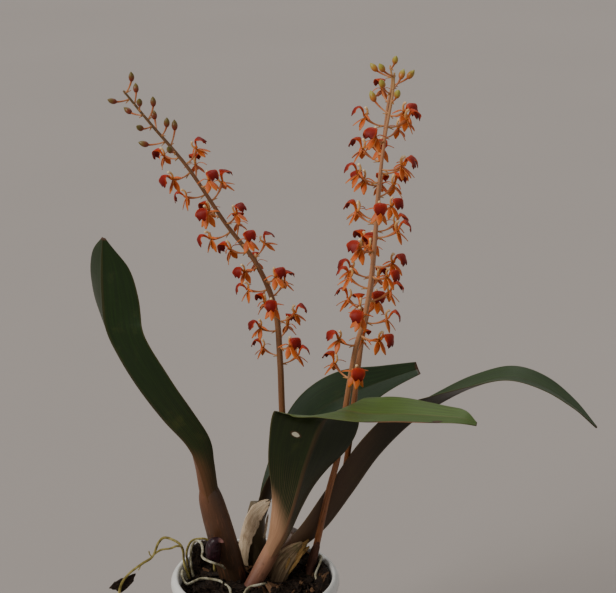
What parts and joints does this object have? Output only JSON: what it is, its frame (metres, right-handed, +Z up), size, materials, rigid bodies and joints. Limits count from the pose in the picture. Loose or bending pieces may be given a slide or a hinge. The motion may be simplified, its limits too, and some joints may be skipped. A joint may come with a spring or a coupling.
{
  "type": "potted liparis latifolia orchid",
  "caption": "Orchid in a plain white pot of bark: swollen stems with one broad folded leaf each, and tall arching spikes of small orange flowers.",
  "frame": {"origin": "centre of the pot's flat underside", "axes": "+Z up along the pot's axis; -Y is the plant's front, the side pictured; +X is towards its long arching leaf"},
  "size_m": [0.3468, 0.1459, 0.4742],
  "materials": {
    "pot_plastic": "smooth white, soft gloss",
    "bark": "rough damp bark pieces, near black",
    "leaf": "leathery green, semi-gloss, with fine lengthwise veins",
    "pseudobulb": "smooth living stem, red-brown to olive",
    "sheath": "dry papery sheath with lengthwise fibres",
    "old_growth": "shrivelled grey-tan skin with torn tips",
    "shoot": "smooth dark purple with a pale tip",
    "spike": "orange-brown stem, orange sepals and deep red lips",
    "root": "matt olive-grey to whitish velamen",
    "flake": "rough dark bark scrap"
  },
  "bodies": {
    "root": {"pot": "pot_plastic", "bark_mix": "bark", "pseudobulb_left": "pseudobulb", "leaf_left": "leaf", "pseudobulb_centre": "pseudobulb", "leaf_centre": "leaf", "pseudobulb_right": "pseudobulb", "leaf_right": "leaf", "pseudobulb_back": "pseudobulb", "leaf_back": "leaf", "sheath_back": "sheath", "old_bulb": "old_growth", "new_shoot": "shoot", "spike_left": "spike", "spike_front": "spike", "spike_rear": "spike", "root_hanging": "root", "root_arch": "root", "root_white": "root", "root_left": "root", "root_front": "root", "root_right": "root", "bark_flake": "flake"}
  },
  "joints": []
}
